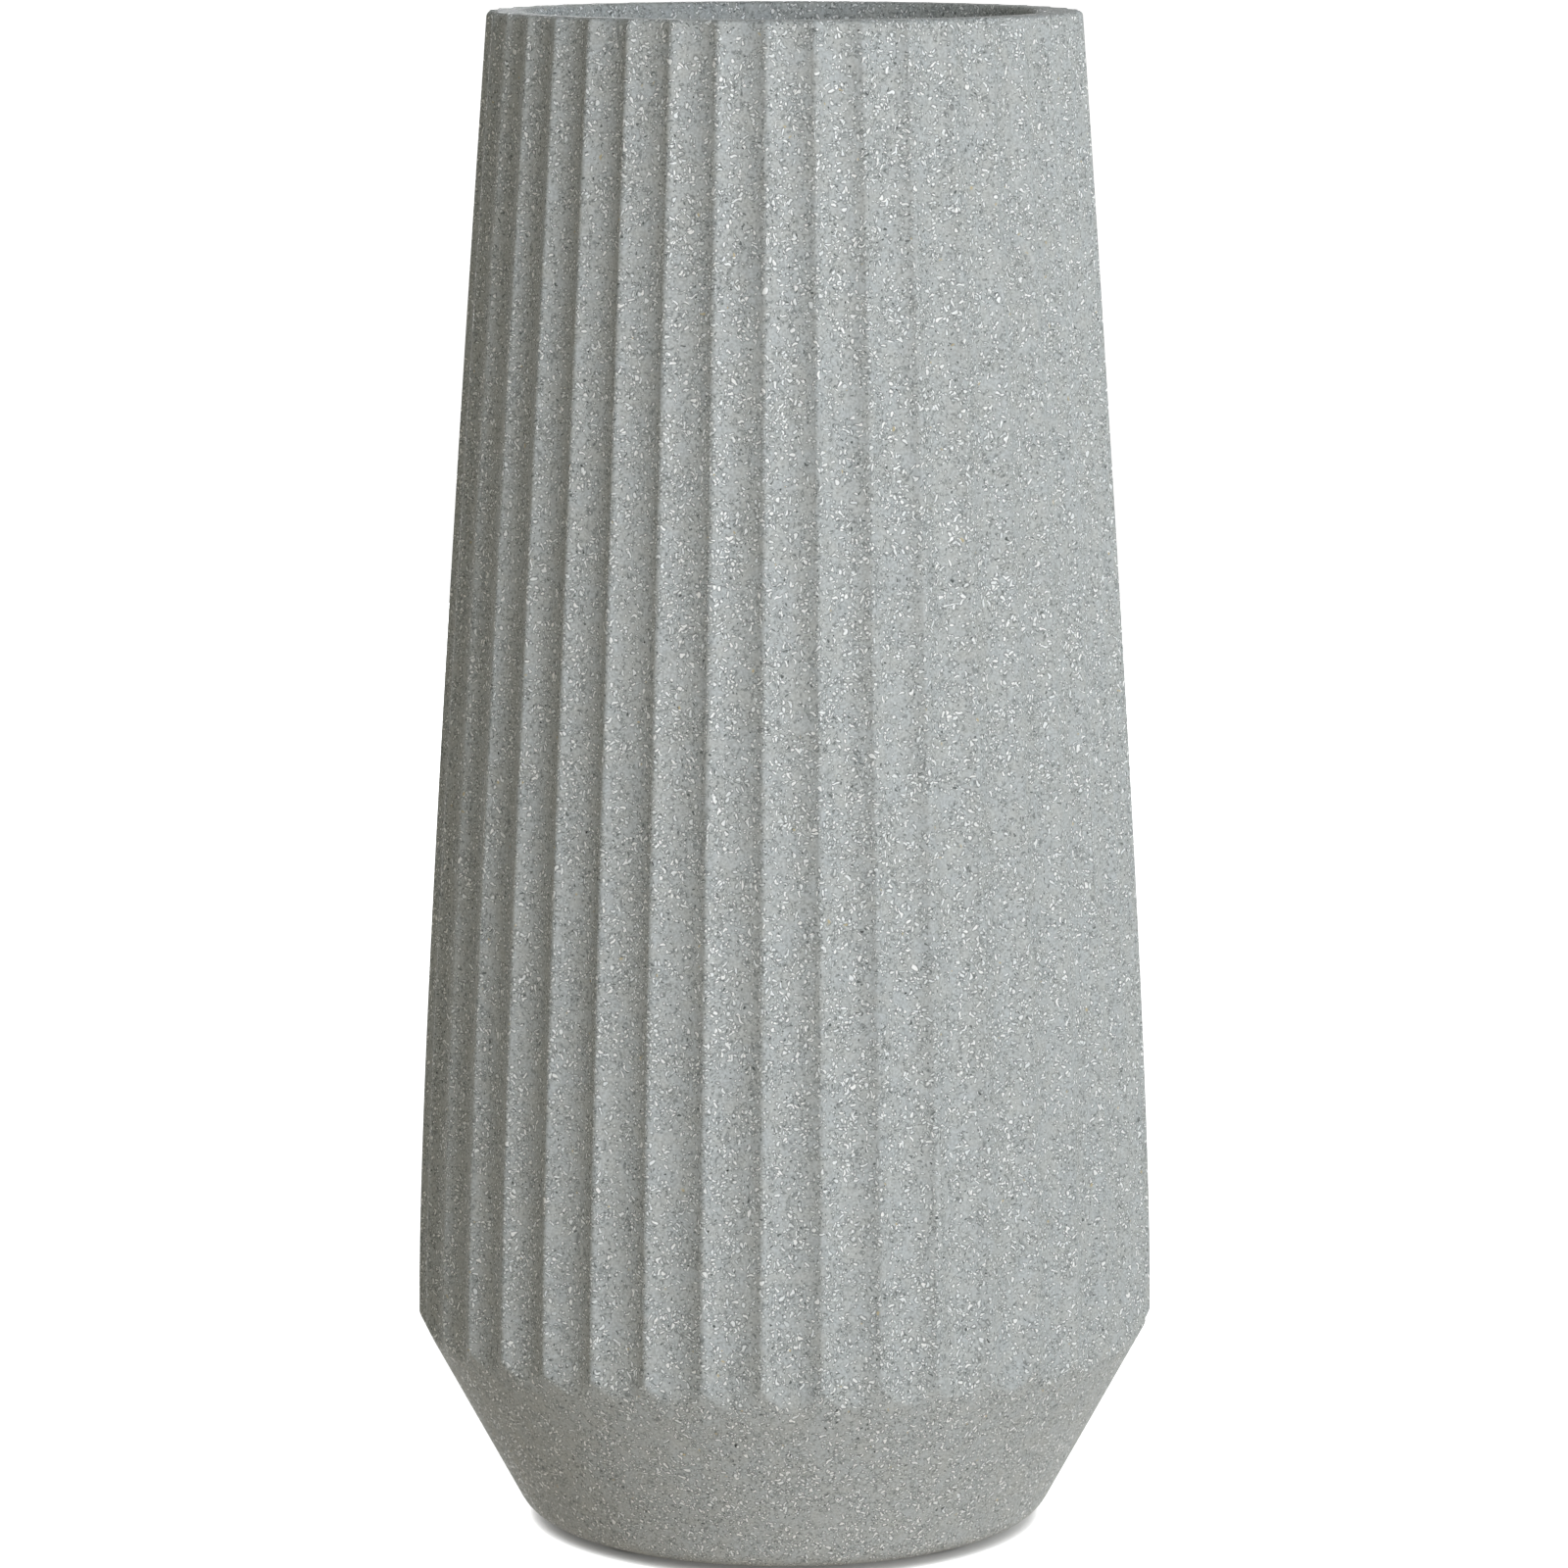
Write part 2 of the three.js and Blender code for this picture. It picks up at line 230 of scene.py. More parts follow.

# Each kind of grain: spacing and half sizes in mm, how many of the places hold one, how much that
# share comes and goes, how far the dark seam round it reaches, as a share of its size, and its
# colours. The seam is partly finer, darker binder and partly painted shade of the hollow the
# grain sits in.
stoneGrains = [
    {"spacing": 1.7, "half": (0.68, 0.46, 0.41), "share": 0.4, "cluster": 0.4, "seam": 0,
     "colours": ("#4b504f", "#7d8281")},
    {"spacing": 1.8, "half": (1.14, 0.57, 0.5), "share": 0.62, "cluster": 0.56, "seam": 0.7,
     "colours": ("#d2d7d8", "#ffffff")},
    {"spacing": 2.6, "half": (1.82, 0.66, 0.57), "share": 0.66, "cluster": 0.56, "seam": 0.7,
     "colours": ("#eaeef0", "#ffffff")},
    {"spacing": 5.5, "half": (0.5, 0.45, 0.4), "share": 0.35, "cluster": 0, "seam": 0,
     "colours": ("#1c1d1d", "#3c3e3e")},
    {"spacing": 8, "half": (0.9, 0.6, 0.5), "share": 0.35, "cluster": 0, "seam": 0,
     "colours": ("#b9ad8c", "#cdbf99")},
]


def makeCastStone():
    s = castStone
    material, tree = newMaterial("castStone")
    place = addNode(tree, "TexCoord")
    inMm = addNode(tree, "VectorMath", {"operation": "SCALE"}, {
        0: place.outputs["Object"], "Scale": 1 / mm})
    point = inMm.outputs[0]
    blotch = addNode(tree, "TexNoise", {}, {
        "Vector": point, "Scale": 1 / s["blotchSize"], "Detail": 3.0})
    tint = addNode(tree, "MapRange", {}, {
        "Value": blotch.outputs["Fac"], "From Min": 0.36, "From Max": 0.64})
    body = addNode(tree, "Mix", {"data_type": "RGBA"}, {
        0: tint.outputs[0], 6: hexColour(s["warm"]), 7: hexColour(s["cool"])})
    grain = addNode(tree, "TexNoise", {}, {
        "Vector": point, "Scale": 1 / s["grainSize"], "Detail": 1.0})
    fine = addNode(tree, "MapRange", {}, {
        "Value": grain.outputs["Fac"], "From Min": 0.3, "From Max": 0.7,
        "To Min": s["grainDark"], "To Max": s["grainLight"]})
    colour = addNode(tree, "VectorMath", {"operation": "SCALE"}, {
        0: body.outputs[2], "Scale": fine.outputs[0]}).outputs[0]
    # slivers are a little bent, so their field is warped first
    bend = addNode(tree, "TexNoise", {}, {
        "Vector": point, "Scale": 1 / s["curlSize"], "Detail": 0.0})
    offset = addNode(tree, "VectorMath", {"operation": "MULTIPLY_ADD"}, {
        0: bend.outputs["Color"], 1: (2 * s["curl"],) * 3, 2: (-s["curl"],) * 3})
    bent = addNode(tree, "VectorMath", {"operation": "ADD"}, {
        0: point, 1: offset.outputs[0]}).outputs[0]
    crowd = addNode(tree, "TexNoise", {}, {
        "Vector": point, "Scale": 1 / s["clusterSize"], "Detail": 2.0})
    polish = None
    for kind in stoneGrains:
        cell = addNode(tree, "TexVoronoi", {"voronoi_dimensions": "3D"}, {
            "Vector": bent, "Scale": 1 / kind["spacing"], "Randomness": 1.0})
        away = addNode(tree, "VectorMath", {"operation": "SUBTRACT"}, {
            0: bent, 1: cell.outputs["Position"]})
        spin = addNode(tree, "VectorMath", {"operation": "SCALE"}, {
            0: cell.outputs["Color"], "Scale": 2 * pi})
        turned = addNode(tree, "VectorRotate", {"rotation_type": "EULER_XYZ"}, {
            "Vector": away.outputs[0], "Rotation": spin.outputs[0]})
        shaped = addNode(tree, "VectorMath", {"operation": "DIVIDE"}, {
            0: turned.outputs[0], 1: kind["half"]})
        reach = addNode(tree, "VectorMath", {"operation": "LENGTH"}, {0: shaped.outputs[0]})
        inside = addNode(tree, "MapRange", {"interpolation_type": "SMOOTHSTEP"}, {
            "Value": reach.outputs["Value"],
            "From Min": s["softEdge"][0], "From Max": s["softEdge"][1]})
        luck = addNode(tree, "TexWhiteNoise", {"noise_dimensions": "3D"}, {
            "Vector": cell.outputs["Position"]})
        odds = addNode(tree, "MapRange", {}, {
            "Value": crowd.outputs["Fac"], "From Min": 0.38, "From Max": 0.62,
            "To Min": kind["share"] - kind["cluster"] / 2,
            "To Max": kind["share"] + kind["cluster"] / 2})
        held = addNode(tree, "Math", {"operation": "LESS_THAN"}, {
            0: luck.outputs["Value"], 1: odds.outputs[0]})
        shows = addNode(tree, "Math", {"operation": "MULTIPLY"}, {
            0: inside.outputs[0], 1: held.outputs[0]})
        # painted shade: a dark ring round each pale grain, partly darker binder, partly the shade
        # of the hollow it sits in
        if kind["seam"]:
            fade = addNode(tree, "MapRange", {}, {
                "Value": reach.outputs["Value"], "From Min": 1.0, "From Max": 1 + kind["seam"],
                "To Min": s["seam"], "To Max": 0.0})
            seamShade = addNode(tree, "Math", {"operation": "MULTIPLY"}, {
                0: fade.outputs[0], 1: held.outputs[0]})
            colour = addNode(tree, "Mix", {"data_type": "RGBA"}, {
                0: seamShade.outputs[0], 6: colour, 7: hexColour(s["seamShadeColour"])}).outputs[2]
            if polish:
                polish = addNode(tree, "Math", {"operation": "MAXIMUM"}, {
                    0: polish, 1: shows.outputs[0]}).outputs[0]
            else:
                polish = shows.outputs[0]
        shade = addNode(tree, "SeparateColor", {}, {"Color": luck.outputs["Color"]})
        one, other = (hexColour(code) for code in kind["colours"])
        grainColour = addNode(tree, "Mix", {"data_type": "RGBA"}, {
            0: shade.outputs["Green"], 6: one, 7: other})
        colour = addNode(tree, "Mix", {"data_type": "RGBA"}, {
            0: shows.outputs[0], 6: colour, 7: grainColour.outputs[2]}).outputs[2]
    bump = addNode(tree, "Bump", {}, {
        "Height": grain.outputs["Fac"], "Distance": s["grainHeight"] * mm, "Strength": 1.0})
    # the slivers' cut faces are smooth and catch the light
    rough = addNode(tree, "MapRange", {}, {
        "Value": polish, "To Min": s["roughness"], "To Max": s["sliverRoughness"]})
    shader = addNode(tree, "BsdfPrincipled", {}, {
        "Base Color": colour, "Roughness": rough.outputs[0], "Specular IOR Level": s["shine"],
        "IOR": 1.5, "Normal": bump.outputs[0]})
    addNode(tree, "OutputMaterial", {}, {"Surface": shader.outputs[0]})
    return material


# The shell's sizes in mm; angles in degrees.
shellSize = {
    "rimRadius": 118.5,
    "bellyRadius": 149.5,
    "baseRadius": 104,
    "baseZ": 2.5,
    "shoulderZ": 86.5,
    "uprightZ": 192.5,
    "rimZ": 610,
    "rimRound": 2,
    "baseRound": 15,
    "flutes": 40,
    "fluteDepth": 4.3,
    "fluteTurn": -3.25,
    "pointsPerFlute": 12,
    "sideSteps": 34,
    "arrisWidth": 1.8,
    "mouthRadius": 102.5,
    "ledgeRadius": 95.5,
    "ledgeZ": 586,
    "ledgeFootZ": 572,
    "ledgeSlopeZ": 550,
    "wall": 16,
    "floorZ": 20.5,
    "floorRound": 12,
    "drainRadius": 12,
    "innerSteps": (460, 370, 280, 190),
    "coneGap": 3,
    "coneStep": 30,
}


def sideRadius(z):
    s = shellSize
    rise = z - s["shoulderZ"]
    lift = s["uprightZ"] - s["shoulderZ"]
    bend = s["rimZ"] - s["shoulderZ"] - 2 * lift
    along = rise / (lift + sqrt(lift ** 2 + bend * rise))
    return s["bellyRadius"] - (s["bellyRadius"] - s["rimRadius"]) * along ** 2


# Share of the arris radius that is left at a place across a flute, which a round tool has hollowed.
def fluteShare(place):
    s = shellSize
    pitch = 2 * pi / s["flutes"]
    offMiddle = pitch * (place / s["pointsPerFlute"] - 0.5)
    valley = s["bellyRadius"] - s["fluteDepth"]
    chordDepth = s["bellyRadius"] * cos(pitch / 2) - valley
    toolCentre = (s["bellyRadius"] ** 2 - valley ** 2) / (2 * chordDepth)
    toolRadius = toolCentre - valley
    reach = sqrt(toolRadius ** 2 - (toolCentre * sin(offMiddle)) ** 2)
    return (toolCentre * cos(offMiddle) - reach) / s["bellyRadius"]


def flutePlace(spot):
    s = shellSize
    pitch = 360 / s["flutes"]
    turn = (degrees(atan2(spot.x, -spot.y)) - s["fluteTurn"]) % pitch
    place = round(turn * s["pointsPerFlute"] / pitch) % s["pointsPerFlute"]
    return min(place, s["pointsPerFlute"] - place)


# The selected ring's points are moved by their place across the flute: in or out, then up or down.
def shapeFlutes(piece, growOf, liftOf):
    shape = bmesh.from_edit_mesh(piece.data)
    places = {v.index: flutePlace(v.co) for v in shape.verts if v.select}
    for place in sorted(set(places.values())):
        selectVerts(piece, lambda v: places.get(v.index) == place)
        grow = growOf(place)
        bpy.ops.transform.resize(value=(grow, grow, 1), center_override=(0, 0, 0))
        bpy.ops.transform.translate(value=(0, 0, liftOf(place) * mm))
    selectVerts(piece, lambda v: v.index in places)


def makeShell():
    s = shellSize
    slope = (s["bellyRadius"] - s["baseRadius"]) / (s["shoulderZ"] - s["baseZ"])
    sides = s["flutes"] * s["pointsPerFlute"]
    shell = startRing("flutedShell", sides, (s["bellyRadius"], s["shoulderZ"]))
    bpy.ops.transform.rotate(
        value=-radians(s["fluteTurn"]), orient_axis="Z", center_override=(0, 0, 0))
    shapeFlutes(shell, fluteShare, lambda place: 0)

    # up the fluted side and over the rim
    top = s["rimZ"] - s["rimRound"]
    step = (top - s["shoulderZ"]) / s["sideSteps"]
    heights = [s["shoulderZ"] + step * i for i in range(s["sideSteps"] + 1)]
    side = [(sideRadius(z), z) for z in heights]
    edge = [(side[-1][0] - s["rimRound"] * (1 - cos(a)), top + s["rimRound"] * sin(a))
            for a in (pi / 8, pi / 4, 3 * pi / 8, pi / 2)]
    here = drawRings(side[0], side[1:] + edge)

    # round again at the mouth, then down the inside to the drain hole
    floorRadius = s["baseRadius"] - s["wall"] + slope * (s["floorZ"] - s["baseZ"])
    inner = softProfile([
        (s["rimRadius"], s["rimZ"], 0),
        (s["mouthRadius"], s["rimZ"], s["rimRound"]),
        (s["mouthRadius"], s["ledgeZ"], 1),
        (s["ledgeRadius"], s["ledgeZ"], 1.5),
        (s["ledgeRadius"], s["ledgeFootZ"], 4),
        (sideRadius(s["ledgeSlopeZ"]) - s["wall"], s["ledgeSlopeZ"], 12),
        *((sideRadius(z) - s["wall"], z, 0) for z in s["innerSteps"]),
        (s["bellyRadius"] - s["wall"], s["shoulderZ"], 10),
        (floorRadius, s["floorZ"], s["floorRound"]),
        (s["drainRadius"], s["floorZ"], 1),
        (s["drainRadius"], (s["floorZ"] + s["baseZ"]) / 2, 0),
    ])[1:]
    bpy.ops.mesh.extrude_region_move()
    shapeFlutes(
        shell, lambda place: inner[0][0] / (here[0] * fluteShare(place)), lambda place: 0)
    drawRings(inner[0], inner[1:])

    # down from the shoulder: each flute runs out in a curve where the plain cone cuts it off
    drop = lambda place: s["bellyRadius"] * (1 - fluteShare(place)) / slope
    coneTop = s["shoulderZ"] - drop(s["pointsPerFlute"] // 2) - s["coneGap"]
    coneRadius = s["baseRadius"] + slope * (coneTop - s["baseZ"])
    midWall = (s["bellyRadius"] - s["wall"] / 2) * mm
    selectVerts(
        shell, lambda v: abs(v.co.z - s["shoulderZ"] * mm) < 1e-6 and v.co.xy.length > midWall)
    bpy.ops.mesh.extrude_region_move()
    shapeFlutes(shell, lambda place: 1, lambda place: -drop(place))
    bpy.ops.mesh.extrude_region_move()
    shapeFlutes(shell, lambda place: coneRadius / (s["bellyRadius"] * fluteShare(place)),
                lambda place: coneTop - s["shoulderZ"] + drop(place))
    foot = softProfile([
        (coneRadius, coneTop, 0),
        (coneRadius - slope * s["coneStep"], coneTop - s["coneStep"], 0),
        (s["baseRadius"], s["baseZ"], s["baseRound"]),
        (s["drainRadius"], s["baseZ"], 1),
        (s["drainRadius"], (s["floorZ"] + s["baseZ"]) / 2, 0),
    ], 7)
    drawRings(foot[0], foot[1:])
    tidyMesh()

    # moulded edges are a little blunt: the arrises, and the line where the cone begins
    bpy.ops.object.mode_set(mode="EDIT")
    outside = lambda v: v.co.xy.length > (sideRadius(v.co.z / mm) - s["wall"] / 2) * mm
    onSide = lambda v: s["shoulderZ"] * mm - 1e-5 < v.co.z < s["rimZ"] * mm
    isArris = lambda v: flutePlace(v.co) == 0 and onSide(v) and outside(v)
    onCrease = lambda v: abs(v.co.z / mm - s["shoulderZ"] + drop(flutePlace(v.co))) < 0.02 \
        and abs(v.co.xy.length / mm - s["bellyRadius"] * fluteShare(flutePlace(v.co))) < 0.02
    selectEdges(
        shell, lambda e: all(map(isArris, e.verts)) or all(map(onCrease, e.verts)))
    bpy.ops.mesh.bevel(offset=s["arrisWidth"] * mm, segments=4, affect="EDGES", clamp_overlap=True)
    tidyMesh(0.004)
    return shell


print("shell")
stone = makeCastStone()
shell = makeShell()
finishPiece(shell, stone, "shell", ["fluted_shell"], angle=40)


# Recycled polypropylene, injection moulded against a spark-eroded tool: charcoal, satin, with fine
# pebbled grain, paler streaks where the melt flowed up from the foot, and short rubs from stacking.
linerPlastic = {
    "name": "mouldedPolypropylene",
    "colour": "#2b2e30",
    "streak": "#44484b",
    "rub": "#65696b",
    "rubSize": (0.9, 0.9, 14),
    "grainSize": 0.8,  # the tool's grain is nearer 0.2 mm, too fine to show
    "grainHeight": 0.05,
    "streakSize": (16, 16, 75),
    "roughness": 0.48,
    "smoother": 0.05,
    "rougher": 0.08,
}

# The same plastic from a polished tool: smoother, a little lighter, and worn where hands hold it.
handlePlastic = {
    "name": "polishedPolypropylene",
    "colour": "#33373a",
    "streak": "#494e52",
    "rub": "#707477",
    "rubSize": (0.5, 5, 0.5),
    "grainSize": 1.2,
    "grainHeight": 0.012,
    "streakSize": (14, 30, 14),
    "roughness": 0.36,
    "smoother": 0.05,
    "rougher": 0.08,
}


def makePlastic(s):
    material, tree = newMaterial(s["name"])
    place = addNode(tree, "TexCoord")
    inMm = addNode(tree, "VectorMath", {"operation": "SCALE"}, {
        0: place.outputs["Object"], "Scale": 1 / mm})
    drawn = addNode(tree, "VectorMath", {"operation": "DIVIDE"}, {
        0: inMm.outputs[0], 1: s["streakSize"]})
    flow = addNode(tree, "TexNoise", {}, {
        "Vector": drawn.outputs[0], "Scale": 1.0, "Detail": 4.0, "Distortion": 0.6})
    streak = addNode(tree, "MapRange", {}, {
        "Value": flow.outputs["Fac"], "From Min": 0.45, "From Max": 0.75})
    flowed = addNode(tree, "Mix", {"data_type": "RGBA"}, {
        0: streak.outputs[0], 6: hexColour(s["colour"]), 7: hexColour(s["streak"])})
    thin = addNode(tree, "VectorMath", {"operation": "DIVIDE"}, {
        0: inMm.outputs[0], 1: s["rubSize"]})
    scrape = addNode(tree, "TexNoise", {}, {
        "Vector": thin.outputs[0], "Scale": 1.0, "Detail": 1.0})
    rub = addNode(tree, "MapRange", {}, {
        "Value": scrape.outputs["Fac"], "From Min": 0.66, "From Max": 0.8, "To Max": 0.5})
    colour = addNode(tree, "Mix", {"data_type": "RGBA"}, {
        0: rub.outputs[0], 6: flowed.outputs[2], 7: hexColour(s["rub"])})
    grain = addNode(tree, "TexVoronoi", {"feature": "SMOOTH_F1"}, {
        "Vector": inMm.outputs[0], "Scale": 1 / s["grainSize"], "Smoothness": 0.6})
    worn = addNode(tree, "MapRange", {}, {
        "Value": flow.outputs["Fac"], "From Min": 0.3, "From Max": 0.7,
        "To Min": s["roughness"] - s["smoother"], "To Max": s["roughness"] + s["rougher"]})
    bump = addNode(tree, "Bump", {}, {
        "Height": grain.outputs["Distance"], "Distance": s["grainHeight"] * mm, "Strength": 1.0})
    shader = addNode(tree, "BsdfPrincipled", {}, {
        "Base Color": colour.outputs[2], "Roughness": worn.outputs[0],
        "IOR": 1.49, "Normal": bump.outputs[0]})
    addNode(tree, "OutputMaterial", {}, {"Surface": shader.outputs[0]})
    return material


# EPDM rubber, compression moulded: dead black with a greyish bloom and hardly any shine.
plugRubber = {
    "colour": "#1a1a1a",
    "bloom": "#343433",
    "bloomSize": 7,
    "grainSize": 0.6,
    "grainHeight": 0.03,
    "roughness": 0.78,
    "smoother": 0.08,
    "rougher": 0.1,
}


def makeRubber():
    s = plugRubber
    material, tree = newMaterial("mouldedRubber")
    place = addNode(tree, "TexCoord")
    inMm = addNode(tree, "VectorMath", {"operation": "SCALE"}, {
        0: place.outputs["Object"], "Scale": 1 / mm})
    haze = addNode(tree, "TexNoise", {}, {
        "Vector": inMm.outputs[0], "Scale": 1 / s["bloomSize"], "Detail": 5.0})
    bloom = addNode(tree, "MapRange", {}, {
        "Value": haze.outputs["Fac"], "From Min": 0.42, "From Max": 0.72})
    colour = addNode(tree, "Mix", {"data_type": "RGBA"}, {
        0: bloom.outputs[0], 6: hexColour(s["colour"]), 7: hexColour(s["bloom"])})
    dull = addNode(tree, "MapRange", {}, {
        "Value": bloom.outputs[0],
        "To Min": s["roughness"] - s["smoother"], "To Max": s["roughness"] + s["rougher"]})
    grain = addNode(tree, "TexNoise", {}, {
        "Vector": inMm.outputs[0], "Scale": 1 / s["grainSize"], "Detail": 2.0})
    bump = addNode(tree, "Bump", {}, {
        "Height": grain.outputs["Fac"], "Distance": s["grainHeight"] * mm, "Strength": 1.0})
    shader = addNode(tree, "BsdfPrincipled", {}, {
        "Base Color": colour.outputs[2], "Roughness": dull.outputs[0],
        "IOR": 1.52, "Normal": bump.outputs[0]})
    addNode(tree, "OutputMaterial", {}, {"Surface": shader.outputs[0]})
    return material


# Needle-punched wool felt: a dark matted tangle of fibres with paler hairs in it, and no shine.
padFelt = {
    "dark": "#34322f",
    "pale": "#77726a",
    "fibreSize": (0.45, 0.45, 2.4),
    "fibreHeight": 0.25,
    "mattSize": 3,
    "tangle": 6.0,  # how far, in radians, the fibres' way turns from place to place
}


def makeFelt():
    s = padFelt
    material, tree = newMaterial("needleFelt")
    place = addNode(tree, "TexCoord")
    inMm = addNode(tree, "VectorMath", {"operation": "SCALE"}, {
        0: place.outputs["Object"], "Scale": 1 / mm})
    matt = addNode(tree, "TexNoise", {}, {
        "Vector": inMm.outputs[0], "Scale": 1 / s["mattSize"], "Detail": 2.0})
    tangle = addNode(tree, "VectorMath", {"operation": "SCALE"}, {
        0: matt.outputs["Color"], "Scale": s["tangle"]})
    lie = addNode(tree, "VectorRotate", {"rotation_type": "EULER_XYZ"}, {
        "Vector": inMm.outputs[0], "Rotation": tangle.outputs[0]})
    thin = addNode(tree, "VectorMath", {"operation": "DIVIDE"}, {
        0: lie.outputs[0], 1: s["fibreSize"]})
    fibre = addNode(tree, "TexNoise", {}, {"Vector": thin.outputs[0], "Scale": 1.0, "Detail": 3.0})
    hair = addNode(tree, "MapRange", {}, {
        "Value": fibre.outputs["Fac"], "From Min": 0.38, "From Max": 0.7})
    colour = addNode(tree, "Mix", {"data_type": "RGBA"}, {
        0: hair.outputs[0], 6: hexColour(s["dark"]), 7: hexColour(s["pale"])})
    bump = addNode(tree, "Bump", {}, {
        "Height": fibre.outputs["Fac"], "Distance": s["fibreHeight"] * mm, "Strength": 1.0})
    shader = addNode(tree, "BsdfPrincipled", {}, {
        "Base Color": colour.outputs[2], "Roughness": 1.0, "IOR": 1.5, "Specular IOR Level": 0.15,
        "Sheen Weight": 0.35, "Sheen Roughness": 0.5, "Normal": bump.outputs[0]})
    addNode(tree, "OutputMaterial", {}, {"Surface": shader.outputs[0]})
    return material


def addRod(name, vertices, radius, start, end):
    clearSelection()
    middle = [(a + b) / 2 * mm for a, b in zip(start, end)]
    along = Vector(end) - Vector(start)
    bpy.ops.mesh.primitive_cylinder_add(
        vertices=vertices, radius=radius * mm, depth=along.length * mm, location=middle,
        rotation=along.to_track_quat("Z", "Y").to_euler())
    rod = nameIt(name)
    bpy.ops.object.transform_apply(location=True, rotation=True, scale=True)
    return rod


# The liner's sizes in mm.
linerSize = {
    "seatZ": 586.3,
    "topZ": 589.3,
    "footZ": 336.3,
    "floorZ": 339.3,
    "flangeRadius": 101.5,
    "neckRadius": 94.5,
    "footRadius": 81.4,
    "lipRadius": 92.16,
    "floorRadius": 79.06,
    "footRound": 9,
    "wall": 2.5,
    "seepHoles": 8,
    "seepRadius": 3,
    "seepCircle": 50,
    "seepReach": 5,
    "pivot": (53, 592.1),
    "earY": (73.72, 81.72),
    "earWidth": 11,
    "earDrop": 20,
    "earRound": 0.7,
    "earTopZ": 605,
    "boreRadius": 2.25,
    "boreReach": 90,
    "middleRadius": 20,
    "sides": 120,
    "earSides": 32,
    "holeSides": 24,
}


def makeLiner():
    s = linerSize
    outside = [
        (s["middleRadius"], s["footZ"], 0),
        (s["footRadius"], s["footZ"], s["footRound"]),
        (s["neckRadius"], s["seatZ"], 0.6),
        (s["flangeRadius"], s["seatZ"], 0.5),
    ]
    liner = turnPiece("linerPot", s["sides"], softProfile(outside + [
        (s["flangeRadius"], s["topZ"], 1),
        (s["lipRadius"], s["topZ"], 1.2),
        (s["floorRadius"], s["floorZ"], s["footRound"] - s["wall"]),
        (s["middleRadius"], s["floorZ"], 0),
    ]))
    # ears for the handles, cut to the liner's own outline below the flange
    pivotX, pivotZ = s["pivot"]
    half = s["earWidth"] / 2
    for x in (-pivotX, pivotX):
        for sideY in (-1, 1):
            near, far = (sideY * y for y in s["earY"])
            ear = addRod("ear", s["earSides"], half, (x, near, pivotZ), (x, far, pivotZ))
            bpy.ops.object.mode_set(mode="EDIT")
            selectVerts(ear, lambda v: v.co.z < pivotZ * mm - 1e-5)
            bpy.ops.transform.translate(value=(0, 0, (half - s["earDrop"]) * mm))
            selectEdges(ear, lambda e: abs(e.verts[0].co.y - e.verts[1].co.y) < 1e-6)
            bpy.ops.mesh.bevel(offset=s["earRound"] * mm, segments=3, affect="EDGES")
            tidyMesh(0.002)
            trim = turnPiece("trim", s["sides"], softProfile(outside + [
                (s["flangeRadius"], s["earTopZ"], 0),
                (s["middleRadius"], s["earTopZ"], 0),
            ]))
            cutWith(ear, trim, "INTERSECT")
            cutWith(liner, ear, "UNION")
        bore = addRod("bore", s["earSides"], s["boreRadius"],
                      (x, -s["boreReach"], pivotZ), (x, s["boreReach"], pivotZ))
        cutWith(liner, bore, "DIFFERENCE")
    for i in range(s["seepHoles"]):
        angle = 2 * pi * i / s["seepHoles"]
        x, y = s["seepCircle"] * cos(angle), s["seepCircle"] * sin(angle)
        hole = addRod("hole", s["holeSides"], s["seepRadius"],
                      (x, y, s["footZ"] - s["seepReach"]), (x, y, s["floorZ"] + s["seepReach"]))
        cutWith(liner, hole, "DIFFERENCE")
    mendCuts(liner)
    return liner


print("liner")
liner = makeLiner()
linerMaterial = makePlastic(linerPlastic)
finishPiece(liner, linerMaterial, "liner", ["liner_pot"], angle=35)


# The handle's sizes in mm, as it lies folded on the flange, on the right.
handleSize = {
    "width": 6,
    "thickness": 5,
    "edge": 1.4,
    "pivot": (53, 592.1),
    "legY": 70.42,
    "bowRadius": 96,
    "bendRadius": 10,
    "pinRadius": 2,
    "pinEndY": 80.72,
    "legEndRound": 0.6,
    "legEndInset": 0.05,  # keeps the round ends' faces off the leg's own
    "pinRound": 0.5,
    "bendSteps": 10,
    "bowSteps": 40,
    "rodSides": 40,
}


